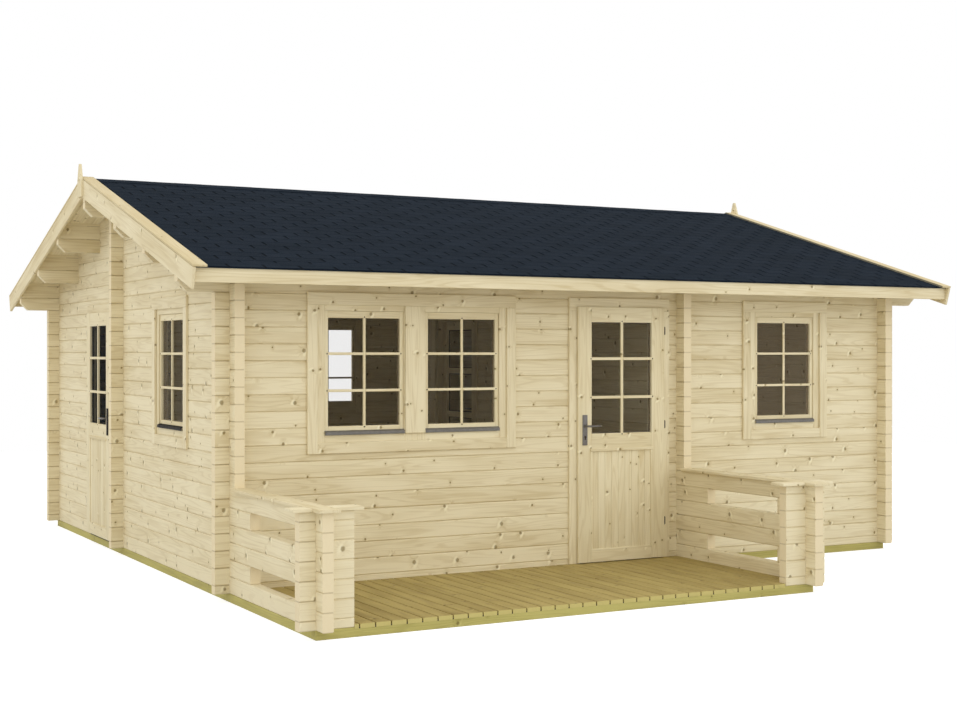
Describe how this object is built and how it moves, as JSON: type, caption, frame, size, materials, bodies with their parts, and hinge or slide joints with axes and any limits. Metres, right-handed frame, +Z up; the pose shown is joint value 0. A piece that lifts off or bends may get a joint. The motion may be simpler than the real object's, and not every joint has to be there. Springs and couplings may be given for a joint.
{
  "type": "log cabin",
  "caption": "Log cabin with notched corners, a gable roof with shingles, a railed front terrace, barred windows and glazed hinged doors outside and between its rooms.",
  "frame": {"origin": "on the ground under the middle of the outline, roof and terrace included", "axes": "+X along the ridge to the gable without openings, +Y to the back, +Z up; the terrace faces -Y"},
  "size_m": [6.542, 7.0302, 3.1533],
  "materials": {
    "spruce_logs": "planed, untreated",
    "joinery_wood": "planed, untreated",
    "treated_wood": "pressure treated",
    "deck_wood": "pressure treated",
    "roof_shingle": "bitumen, gritted",
    "clear_glass": "clear",
    "sheet_metal": "satin",
    "door_metal": "satin"
  },
  "bodies": {
    "cabin": {"house_floor": "spruce_logs", "front_wall_left": "spruce_logs", "front_wall_right": "spruce_logs", "front_wall_head": "spruce_logs", "left_wall_front": "spruce_logs", "left_wall_back": "spruce_logs", "left_gable": "spruce_logs", "right_wall": "spruce_logs", "back_wall": "spruce_logs", "cross_wall": "spruce_logs", "partition_front": "spruce_logs", "partition_back": "spruce_logs", "partition_head": "spruce_logs", "rail_left": "spruce_logs", "rail_right": "spruce_logs", "rail_corners": "spruce_logs", "rail_caps": "spruce_logs", "ridge_purlin": "spruce_logs", "purlins": "spruce_logs", "roof_boards_front": "spruce_logs", "roof_boards_back": "spruce_logs", "barge_boards": "spruce_logs", "barge_covers": "spruce_logs", "finials": "spruce_logs", "eave_fascias": "spruce_logs", "window_frames": "joinery_wood", "window_sashes": "joinery_wood", "front_door_frame": "joinery_wood", "side_door_frame": "joinery_wood", "inner_door_frame": "joinery_wood", "foundation_beams": "treated_wood", "terrace_deck": "deck_wood", "roof_covering_front": "roof_shingle", "roof_covering_back": "roof_shingle", "window_glass": "clear_glass", "window_sills": "sheet_metal", "door_hinges": "door_metal"},
    "front_door": {"front_door_leaf": "joinery_wood", "front_door_glass": "clear_glass", "front_door_hardware": "door_metal"},
    "side_door": {"side_door_leaf": "joinery_wood", "side_door_glass": "clear_glass", "side_door_hardware": "door_metal"},
    "inner_door": {"inner_door_leaf": "joinery_wood", "inner_door_glass": "clear_glass", "inner_door_hardware": "door_metal"}
  },
  "joints": [
    {"name": "front_door_hinge", "type": "hinge", "parent": "cabin", "child": "front_door", "pos_m": [0.6035, -1.91257, 1.101], "axis": [0, 0, 1], "range_deg": [0, 90]},
    {"name": "side_door_hinge", "type": "hinge", "parent": "cabin", "child": "side_door", "pos_m": [-2.9095, 1.82743, 1.101], "axis": [0, 0, -1], "range_deg": [0, 90]},
    {"name": "inner_door_hinge", "type": "hinge", "parent": "cabin", "child": "inner_door", "pos_m": [0.8385, 2.24643, 1.101], "axis": [0, 0, 1], "range_deg": [0, 90]}
  ]
}
